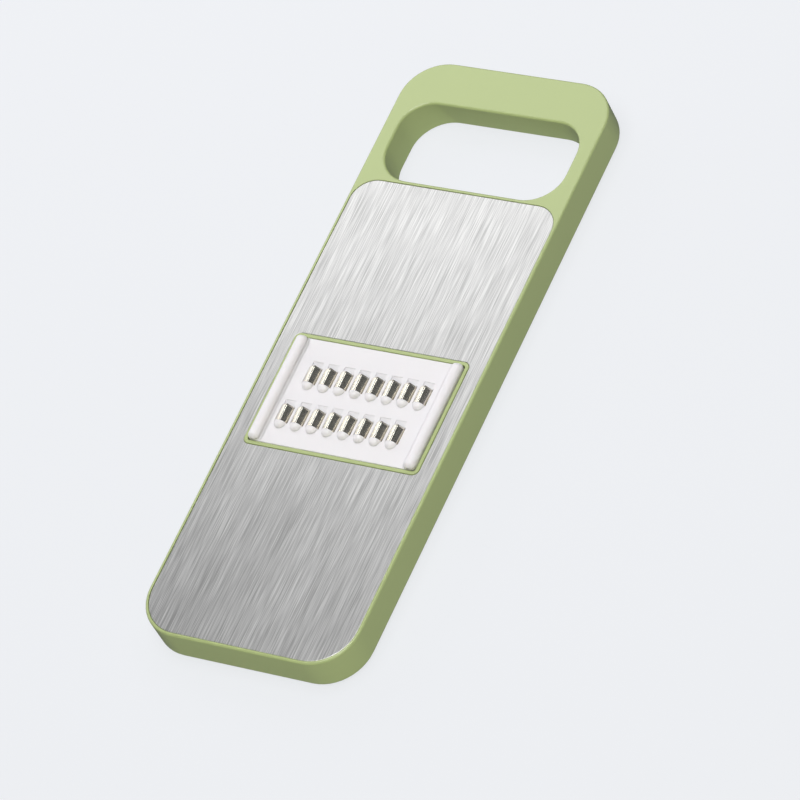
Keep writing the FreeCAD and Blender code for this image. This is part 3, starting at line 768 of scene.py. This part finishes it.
class SLICER_OT_board(bpy.types.Operator):
    """Makes the green moulding with its handle, window, hollow underside and ribs"""

    bl_idname = "slicer.board"
    bl_label = "Board moulding"

    def execute(self, context):
        self.board = context.scene.slicer_board
        self.deck = context.scene.slicer_deck
        self.insert = context.scene.slicer_insert
        self.top = BOARD_HIGH.z
        self.deck_under = RECESS_FLOOR - self.board.deck_thick
        green = moulded_plastic("green_plastic", context.scene.slicer_finishes.green,
                                roughness=0.34, sheen=0.7)
        moulding = self.make_moulding()
        settle(moulding, green, "board", "green_plastic", "frame")
        for ribs in self.make_ribs(green):
            settle(ribs, green, "board", "green_plastic", "frame")
        return {"FINISHED"}

    def make_moulding(self):
        board, deck, top = self.board, self.deck, self.top
        small, under = board.edge_break, board.inner_break
        shell = Shell()
        outside = board_outline(board)
        sole, rim = shell.wall(outside, rounded(
            (board.bottom_round, 0.0), (0.0, 0.0, board.bottom_round),
            (0.0, top, board.top_round), (board.top_round, top)))
        opening_top, opening_sole = self.make_opening(shell)

        recess = plate_outline(board, deck).inset(-deck.plate_gap)
        recess_rim, recess_foot = shell.wall(recess, rounded(
            (-small, top), (0.0, top, small), (0.0, RECESS_FLOOR)))
        window = window_outline(deck, self.insert)
        ledge_top = INSERT_LOW.z - self.insert.seat_gap
        ledge_under = ledge_top - deck.ledge_thick
        lip_foot, well_foot = shell.wall(window, rounded(
            (-deck.lip_width, RECESS_FLOOR), (-deck.lip_width, top, deck.lip_round),
            (0.0, top, deck.lip_round), (0.0, ledge_top)))
        shell.bridge(recess_foot, lip_foot, flat=True)

        throat = replace(window.inset(deck.ledge_width),
                         foot_corner=deck.throat_corner, handle_corner=deck.throat_corner)
        throat_top, throat_foot = shell.wall(throat, rounded(
            (-small, ledge_top), (0.0, ledge_top, small),
            (0.0, ledge_under, small), (-small, ledge_under)))
        shell.bridge(well_foot, throat_top, flat=True)
        well_low, well_high = shell.wall(window.inset(-deck.well_wall), rounded(
            (small, ledge_under), (0.0, ledge_under, small), (0.0, self.deck_under)))
        shell.bridge(throat_foot, well_low, flat=True)

        cavity_high, cavity_sole = shell.wall(self.cavity(), rounded(
            (0.0, self.deck_under), (0.0, 0.0, under), (-under, 0.0)))
        shell.bridge(well_high, cavity_high, flat=True)
        cells = [self.make_cell(shell, cell) for cell in self.cells()]
        shell.fill(rim, recess_rim, opening_top)
        shell.fill(sole, cavity_sole, opening_sole, *cells)
        return shell.finish("board_moulding")

    def make_opening(self, shell):
        """The finger opening, whose grip side leans under towards the base."""
        board, top = self.board, self.top
        handle = BOARD_HIGH.y - board.end_bar
        above = Outline(BOARD_LOW.x + board.side_bar, BOARD_HIGH.x - board.side_bar,
                        handle - board.opening_length, handle,
                        board.opening_foot_corner, board.opening_handle_corner)
        below = Outline(above.left + board.side_lean, above.right - board.side_lean,
                        above.foot, above.handle + board.grip_lean,
                        above.foot_corner + board.side_lean, above.handle_corner + board.corner_lean)
        radius = board.opening_round
        return shell.wall(lambda height: above.towards(below, 1 - height / top), rounded(
            (-radius, top), (0.0, top, radius), (0.0, 0.0, radius), (-radius, 0.0)))

    def cavity(self):
        board = self.board
        inner = board_outline(board).inset(board.side_wall)
        opening_foot = BOARD_HIGH.y - board.end_bar - board.opening_length
        return replace(inner, handle=opening_foot - board.side_wall,
                       handle_corner=board.cavity_corner)

    def cells(self):
        """Three blind cells that lighten the grip from below."""
        board = self.board
        foot = BOARD_HIGH.y - board.end_bar + board.grip_lean + board.side_wall
        handle = BOARD_HIGH.y - board.side_wall
        reach = BOARD_HIGH.x - board.handle_corner
        width = (2 * reach - 2 * board.rib_thick) / 3
        for index in (-1, 0, 1):
            middle = index * (width + board.rib_thick)
            yield rectangle(middle, (foot + handle) / 2, width, handle - foot, board.cell_corner, 6)

    def make_cell(self, shell, cell):
        under = self.board.inner_break
        mouth, roof = shell.wall(cell, rounded(
            (-under, 0.0), (0.0, 0.0, under), (0.0, self.top - self.board.grip_skin)))
        shell.face(roof)
        return mouth

    def make_ribs(self, material):
        """Two ribs across and two along in each part of the hollow, beside the insert's well."""
        board, deck = self.board, self.deck
        cavity = self.cavity()
        well = window_outline(deck, self.insert).inset(-deck.well_wall)
        zones = {"foot": (cavity.foot, well.foot), "handle": (well.handle, cavity.handle)}
        for zone, (low, high) in zones.items():
            third = (high - low) / 3
            across = rectangle(0.0, low + third, cavity.right * 2 + 2 * board.rib_bite,
                               board.rib_thick, board.edge_break)
            along = rectangle(-board.rib_offset, (low + high) / 2, board.rib_thick,
                              high - low + 2 * board.rib_bite, board.edge_break)
            for kind, outline, step in (("cross", across, (0.0, third, 0.0)),
                                        ("long", along, (2 * board.rib_offset, 0.0, 0.0))):
                yield self.make_rib(f"{kind}_ribs_{zone}", outline, step, material)

    def make_rib(self, name, outline, step, material):
        edge = self.board.edge_break
        foot = self.deck_under - self.board.rib_depth
        shell = Shell()
        shell.block(outline, rounded((edge * 2, foot), (0.0, foot, edge * 2),
                                     (0.0, self.deck_under + self.board.rib_bite)))
        ribs = shell.finish(name)
        grid_pattern(f"{name}_pattern", material, 2, step).apply(ribs)
        return ribs


class SLICER_OT_deck(bpy.types.Operator):
    """Makes the brushed steel deck plate, and finishes the bond film under it"""

    bl_idname = "slicer.deck"
    bl_label = "Deck plate"

    def execute(self, context):
        board = context.scene.slicer_board
        deck = context.scene.slicer_deck
        finishes = context.scene.slicer_finishes
        bottom, top, edge = PLATE_LOW.z, PLATE_HIGH.z, deck.plate_round
        shell = Shell()
        low, high = shell.wall(plate_outline(board, deck), rounded(
            (0.0, bottom), (0.0, top, edge), (edge, top)))
        window = window_outline(deck, context.scene.slicer_insert)
        hole_high, hole_low = shell.wall(window.inset(-deck.lip_width - deck.plate_gap), rounded(
            (-edge, top), (0.0, top, edge), (0.0, bottom)))
        shell.bridge(high, hole_high, flat=True)
        shell.bridge(low, hole_low, flat=True)
        plate = shell.finish("deck_sheet")
        settle(plate, brushed_steel("brushed_deck", finishes.steel), "board", "brushed_deck",
               "deck_plate")
        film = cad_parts["deck_adhesive"]
        film.data.materials.clear()
        film.data.materials.append(bond_film("bond_film", finishes.film))
        return {"FINISHED"}


# ---------------------------------------------------------------------------------------------
# The insert
# ---------------------------------------------------------------------------------------------

class SLICER_OT_insert(bpy.types.Operator):
    """Makes the white insert with its rails, blade slots, domes and stakes"""

    bl_idname = "slicer.insert"
    bl_label = "Insert moulding"

    def execute(self, context):
        self.sizes = context.scene.slicer_insert
        self.blades = context.scene.slicer_blades
        self.rows = [BladeRow(strip, self.blades) for strip in STRIPS]
        self.top = self.rows[0].centre
        self.outline = insert_outline(context.scene.slicer_deck, self.sizes)
        finishes = context.scene.slicer_finishes
        white = moulded_plastic("white_plastic", finishes.white, roughness=0.36, translucence=0.5)
        for piece in (self.make_moulding(), self.make_domes(white), self.make_stakes(white)):
            settle(piece, white, "blade_insert", "white_plastic", "insert_carrier")
        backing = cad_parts["blade_backing"]
        backing.data.materials.clear()
        backing.data.materials.append(
            moulded_plastic("backing_plastic", finishes.backing, roughness=0.55, grain=1.6))
        return {"FINISHED"}

    def make_moulding(self):
        sizes, outline, top = self.sizes, self.outline, self.top
        under = top - sizes.skin
        edge = sizes.edge_round
        shell = Shell()
        foot, rim = shell.wall(outline, rounded(
            (edge, INSERT_LOW.z), (0.0, INSERT_LOW.z, edge), (0.0, top, edge), (edge, top)))
        inner = replace(outline.inset(sizes.wall),
                        foot_corner=sizes.inner_corner, handle_corner=sizes.inner_corner)
        inner_foot, ceiling = shell.wall(inner, rounded(
            (-edge, INSERT_LOW.z), (0.0, INSERT_LOW.z, edge), (0.0, under)))
        shell.bridge(foot, inner_foot, flat=True)
        mouths, slots = [], []
        for row in self.rows:
            for middle in row.middles():
                mouth, slot = self.make_seat(shell, row, middle, under)
                mouths.append(mouth)
                slots.append(slot)
        shell.fill(rim, *mouths)
        shell.fill(ceiling, *slots)
        self.add_rails(shell)
        self.add_grip_ribs(shell)
        return shell.finish("insert_moulding")

    def make_seat(self, shell, row, middle, under):
        """A blade's slot through the skin and the ramped lead-in ahead of it."""
        sizes, top = self.sizes, self.top
        slot = self.blades.radius + self.blades.fit
        lead = sizes.lead_width / 2
        back = row.back - self.blades.fit
        front = row.front + self.blades.fit
        far = row.front + sizes.lead_length
        mouth = shell.ring([Vector((middle + x, y)) for x, y in (
            (-slot, back), (slot, back), (slot, front), (lead, front),
            (lead, far), (-lead, far), (-lead, front), (-slot, front))], top)
        near_right, near_left = shell.ring(
            [(middle + lead, front), (middle - lead, front)], top - sizes.lead_deep)
        far_right, far_left = shell.ring(
            [(middle + lead, far), (middle - lead, far)], top - sizes.lead_shallow)
        below = shell.ring([(middle - slot, back), (middle + slot, back),
                            (middle + slot, front), (middle - slot, front)], under)
        shell.face((mouth[0], mouth[1], below[1], below[0]))
        shell.face((mouth[1], mouth[2], below[2], below[1]))
        shell.face((mouth[7], mouth[0], below[0], below[3]))
        shell.face((mouth[2], mouth[3], near_right, near_left, mouth[6], mouth[7],
                    below[3], below[2]))
        shell.face((mouth[3], mouth[4], far_right, near_right))
        shell.face((mouth[4], mouth[5], far_left, far_right))
        shell.face((mouth[5], mouth[6], near_left, far_left))
        shell.face((far_right, far_left, near_left, near_right))
        return mouth, below

    def add_rails(self, shell):
        """Two rounded rails along the insert's sides, each with a fillet at its inner foot."""
        sizes, top = self.sizes, self.top
        root = sizes.rail_root

        def flare(height):
            rest = max(top + root - height, 0.0)
            return root - math.sqrt(max(root ** 2 - rest ** 2, 0.0))

        right = replace(self.outline, left=self.outline.right - sizes.rail_width)
        left = replace(self.outline, right=self.outline.left + sizes.rail_width)
        heights = [top + root * (1 - math.cos(math.radians(angle))) for angle in range(0, 91, 15)]
        crown = rounded((0.0, heights[-1]), (0.0, top + sizes.rail_height, sizes.rail_round),
                        (sizes.rail_round, top + sizes.rail_height))
        profile = [(sizes.rail_sink, top - sizes.skin / 2), (sizes.rail_sink, top)]
        profile += [(0.0, height) for height in heights] + crown[1:]

        def right_rail(height):
            return replace(right, left=right.left - (flare(height) if height >= top else 0.0))

        def left_rail(height):
            return replace(left, right=left.right + (flare(height) if height >= top else 0.0))

        for rail in (right_rail, left_rail):
            shell.block(rail, profile)

    def add_grip_ribs(self, shell):
        """Four slight ribs on the end walls that take up the insert's play in its well."""
        sizes, outline, bevel = self.sizes, self.outline, self.sizes.rib_bevel
        low, high = INSERT_LOW.z + sizes.rib_lead, self.top - sizes.rib_lead
        for face, root in ((INSERT_LOW.y, outline.foot + sizes.wall / 2),
                           (INSERT_HIGH.y, outline.handle - sizes.wall / 2)):
            for middle in (-sizes.rib_offset, sizes.rib_offset):
                rib = rectangle(middle, (face + root) / 2, sizes.rib_width, abs(face - root),
                                sizes.rib_width / 4)
                shell.block(rib, [(bevel, low), (0.0, low + bevel),
                                  (0.0, high - bevel), (bevel, high)])

    def make_domes(self, material):
        """A quarter of a stretched ball behind each blade, which closes the blade's back."""
        first, second = self.rows
        centre = Vector((first.first, first.back - self.blades.fit, self.top))
        work = bmesh.new()
        bmesh.ops.create_uvsphere(work, u_segments=48, v_segments=24, radius=1.0)
        bmesh.ops.scale(work, vec=(self.sizes.dome_half_width, self.sizes.dome_length,
                                   self.sizes.dome_height), verts=work.verts)
        for normal in ((0.0, 1.0, 0.0), (0.0, 0.0, -1.0)):
            cut = bmesh.ops.bisect_plane(
                work, geom=work.verts[:] + work.edges[:] + work.faces[:], dist=SAME_PLACE,
                plane_co=(0.0, 0.0, 0.0), plane_no=normal, clear_outer=True)
            edges = [item for item in cut["geom_cut"] if isinstance(item, bmesh.types.BMEdge)]
            bmesh.ops.holes_fill(work, edges=edges)
        bmesh.ops.translate(work, vec=centre, verts=work.verts)
        data = bpy.data.meshes.new("insert_domes")
        work.to_mesh(data)
        work.free()
        domes = bpy.data.objects.new("insert_domes", data)
        bpy.context.scene.collection.objects.link(domes)
        row_step = (second.first - first.first, second.back - first.back, 0.0)
        grid_pattern("dome_rows", material, first.count, (first.pitch, 0.0, 0.0),
                     2, row_step).apply(domes)
        tidy_faces(domes)
        return domes

    def make_stakes(self, material):
        """The posts that pass through the strips and the backing, with their melted heads."""
        sizes = self.sizes
        head_top = BACKING_LOW.z
        head_foot = head_top - sizes.head_height
        post = sizes.stake_radius - sizes.stake_head
        shell = Shell()
        for row in self.rows:
            for x, y in row.stakes():
                shell.block(circle(x, y, sizes.stake_head), rounded(
                    (sizes.head_flat, head_foot), (0.0, head_foot, sizes.head_round), (0.0, head_top),
                    (-post, head_top), (-post, self.top - sizes.skin / 2)))
        stakes = shell.finish("insert_stakes")
        grid_pattern("stake_rows", material, 3, (self.rows[0].reach, 0.0, 0.0)).apply(stakes)
        return stakes


class SLICER_OT_blades(bpy.types.Operator):
    """Makes the two steel strips with their rows of hooded blades"""

    bl_idname = "slicer.blades"
    bl_label = "Blade rows"

    def execute(self, context):
        sizes = context.scene.slicer_blades
        insert = context.scene.slicer_insert
        steel = polished_steel("blade_steel", context.scene.slicer_finishes.blade)
        for strip in STRIPS:
            row = BladeRow(strip, sizes)
            piece = self.make_strip(row, sizes, insert)
            blade_pattern(f"{piece.name}_pattern", steel, sizes, row).apply(piece)
            tidy_faces(piece)
            settle(piece, steel, "blade_insert", "blade_steel", strip)
        return {"FINISHED"}

    def make_strip(self, row, sizes, insert):
        """The flat strip, with a window under each blade and a hole for each stake."""
        outline = rectangle(row.across, (row.low.y + row.high.y) / 2, row.high.x - row.low.x,
                            row.high.y - row.low.y, sizes.strip_corner)
        window = 2 * (sizes.radius - sizes.gauge)
        holes = [rectangle(middle, (row.back + row.front) / 2, window, row.front - row.back,
                           sizes.gauge / 4) for middle in row.middles()]
        radius = insert.stake_radius + insert.stake_hole_gap
        holes += [circle(x + shift * row.reach, y, radius)
                  for x, y in row.stakes() for shift in (0, 1, 2)]
        shell = Shell()
        rings = [shell.wall(shape, [(0.0, row.under), (0.0, row.under + sizes.gauge)])
                 for shape in (outline, *holes)]
        shell.fill(*(low for low, high in rings))
        shell.fill(*(high for low, high in rings))
        return shell.finish(row.strip.replace("blade_strip", "blades"))


# ---------------------------------------------------------------------------------------------
# The studio
# ---------------------------------------------------------------------------------------------

@dataclass(frozen=True)
class Softbox:
    """A rectangular light: its name is also the name of its brightness among the studio's."""

    name: str
    place: tuple
    target: tuple
    width: float
    height: float
    tint: tuple = (1.0, 1.0, 1.0)


SOFTBOXES = (
    Softbox("canopy", (-0.45, 0.655, 0.50), (-0.45, 0.655, 0.0), 1.10, 0.85),
    Softbox("left", (-1.10, 0.35, 0.40), (0.0, 0.0, 0.1), 1.5, 0.75),
    Softbox("front", (0.74, -0.86, 0.5), (0.0, 0.0, 0.0), 1.0, 0.8, (1.0, 0.99, 0.60)),
    Softbox("edge", (0.46, 0.51, 0.98), (0.0, 0.0, 0.0), 0.35, 0.35),
    Softbox("overhead", (0.05, -0.15, 1.30), (0.0, 0.0, 0.0), 0.9, 0.9),
)

FLOOR_SIZE = 4.0
FLOOR_SQUARES = 24
FLOOR_DROP = 0.2 * MM
ROOM_COLOUR = (0.93, 0.96, 1.0, 1.0)
SENSOR_MILLIMETRES = 36.0
VIEW_DISTANCE = 20.0


class SLICER_OT_studio(bpy.types.Operator):
    """Sets up the pale floor, the softboxes and the camera"""

    bl_idname = "slicer.studio"
    bl_label = "Studio"

    def execute(self, context):
        self.studio = context.scene.slicer_studio
        context.scene.view_settings.view_transform = "Standard"
        self.add_floor(context.scene.slicer_finishes.floor)
        self.add_room(context.scene)
        for softbox in SOFTBOXES:
            self.add_softbox(softbox)
        self.add_camera(context.scene)
        return {"FINISHED"}

    def add_floor(self, rgba):
        work = bmesh.new()
        bmesh.ops.create_grid(work, x_segments=FLOOR_SQUARES, y_segments=FLOOR_SQUARES, size=FLOOR_SIZE)
        bmesh.ops.translate(work, vec=(0.0, 0.0, -FLOOR_DROP), verts=work.verts)
        data = bpy.data.meshes.new("floor")
        work.to_mesh(data)
        work.free()
        floor = bpy.data.objects.new("floor", data)
        bpy.context.scene.collection.objects.link(floor)
        glow = self.studio.floor_glow
        finish = Finish("floor", {"Roughness": 0.9, "Specular IOR Level": 0.1,
                                  "Emission Color": rgba, "Emission Strength": glow})
        shade = finish.noise(2.0)
        lit = tinted(rgba, 1.0 - glow)
        data.materials.append(finish.use(
            base_color=finish.mix(shade, tinted(lit, 0.99), tinted(lit, 1.01))))
        floor.visible_glossy = False

    def add_room(self, scene):
        scene.world = scene.world or bpy.data.worlds.new("room")
        scene.world.use_nodes = True
        background = scene.world.node_tree.nodes["Background"]
        background.inputs["Color"].default_value = ROOM_COLOUR
        background.inputs["Strength"].default_value = self.studio.ambience

    def add_softbox(self, softbox):
        light = bpy.data.lights.new(softbox.name, "AREA")
        light.shape = "RECTANGLE"
        light.color = softbox.tint
        light.size = softbox.width
        light.size_y = softbox.height
        light.energy = getattr(self.studio, softbox.name) * math.pi * softbox.width * softbox.height
        lamp = bpy.data.objects.new(softbox.name, light)
        lamp.location = softbox.place
        aim = Vector(softbox.target) - Vector(softbox.place)
        lamp.rotation_euler = aim.to_track_quat("-Z", "Y").to_euler()
        bpy.context.scene.collection.objects.link(lamp)

    def add_camera(self, scene):
        data = bpy.data.cameras.new("camera")
        data.sensor_width = SENSOR_MILLIMETRES
        data.lens = self.studio.lens
        data.clip_end = VIEW_DISTANCE
        camera = bpy.data.objects.new("camera", data)
        camera.location = self.studio.camera_place
        camera.rotation_euler = self.studio.camera_turn
        scene.collection.objects.link(camera)
        scene.camera = camera


# ---------------------------------------------------------------------------------------------
# Add-on
# ---------------------------------------------------------------------------------------------

GROUPS = {
    "slicer_board": BoardSizes,
    "slicer_deck": DeckSizes,
    "slicer_insert": InsertSizes,
    "slicer_blades": BladeSizes,
    "slicer_finishes": Finishes,
    "slicer_studio": Studio,
}
OPERATORS = (SLICER_OT_board, SLICER_OT_deck, SLICER_OT_insert, SLICER_OT_blades, SLICER_OT_studio)


class SLICER_PT_pieces(bpy.types.Panel):
    """Lists the slicer's pieces, and the sizes and colours that they are made with"""

    bl_label = "Mandoline slicer"
    bl_space_type = "VIEW_3D"
    bl_region_type = "UI"
    bl_category = "Slicer"

    def draw(self, context):
        for operator in OPERATORS:
            self.layout.operator(operator.bl_idname)
        for name, group in GROUPS.items():
            box = self.layout.box()
            box.label(text=group.__doc__)
            for key in group.__annotations__:
                box.prop(getattr(context.scene, name), key)


def register():
    for name, group in GROUPS.items():
        bpy.utils.register_class(group)
        setattr(bpy.types.Scene, name, PointerProperty(type=group))
    for item in (*OPERATORS, SLICER_PT_pieces):
        bpy.utils.register_class(item)


def unregister():
    for item in (SLICER_PT_pieces, *reversed(OPERATORS)):
        bpy.utils.unregister_class(item)
    for name, group in reversed(GROUPS.items()):
        delattr(bpy.types.Scene, name)
        bpy.utils.unregister_class(group)


def main():
    register()
    bpy.ops.slicer.board()
    bpy.ops.slicer.deck()
    bpy.ops.slicer.insert()
    bpy.ops.slicer.blades()
    bpy.ops.slicer.studio()


if __name__ == "__main__":
    main()
